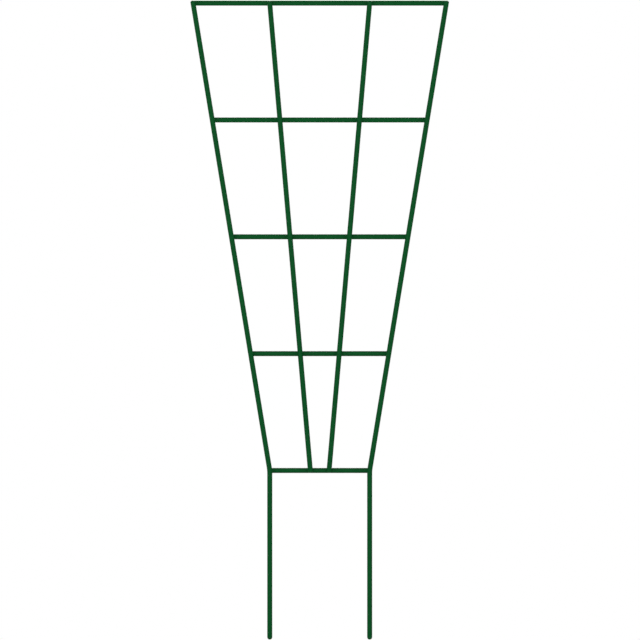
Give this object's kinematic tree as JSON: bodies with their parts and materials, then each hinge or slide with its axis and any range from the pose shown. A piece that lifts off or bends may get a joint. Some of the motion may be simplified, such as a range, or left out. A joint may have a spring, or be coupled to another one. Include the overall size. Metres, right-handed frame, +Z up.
{
  "type": "espalier frame",
  "caption": "Fan-shaped plant frame of welded round tube: leaning uprights crossed by level rails, on straight legs that push into the ground, to tie and train a plant flat.",
  "frame": {"origin": "on the plane that the leg tips reach, midway between the legs and midway between the front and back layers of tube", "axes": "+Z up along the height, +X to the right as seen from the front, +Y from the front to the back"},
  "size_m": [0.6074, 0.0236, 1.5],
  "materials": {
    "green_coat": "satin dark green powder coat on steel tube, with a fine orange peel",
    "green_plug": "dark green moulded polyethylene, low gloss"
  },
  "bodies": {
    "root": {"left_upright": "green_coat", "right_upright": "green_coat", "left_inner_upright": "green_coat", "right_inner_upright": "green_coat", "foot_rail": "green_coat", "lower_rail": "green_coat", "middle_rail": "green_coat", "upper_rail": "green_coat", "top_rail": "green_coat", "foot_rail_welds": "green_coat", "lower_rail_welds": "green_coat", "middle_rail_welds": "green_coat", "upper_rail_welds": "green_coat", "top_rail_welds": "green_coat", "left_leg_tip": "green_plug", "right_leg_tip": "green_plug", "left_upright_top_plug": "green_plug", "right_upright_top_plug": "green_plug", "left_inner_upright_top_plug": "green_plug", "right_inner_upright_top_plug": "green_plug", "left_inner_upright_foot_plug": "green_plug", "right_inner_upright_foot_plug": "green_plug", "foot_rail_left_plug": "green_plug", "foot_rail_right_plug": "green_plug", "lower_rail_left_plug": "green_plug", "lower_rail_right_plug": "green_plug", "middle_rail_left_plug": "green_plug", "middle_rail_right_plug": "green_plug", "upper_rail_left_plug": "green_plug", "upper_rail_right_plug": "green_plug", "top_rail_left_plug": "green_plug", "top_rail_right_plug": "green_plug"}
  },
  "joints": []
}
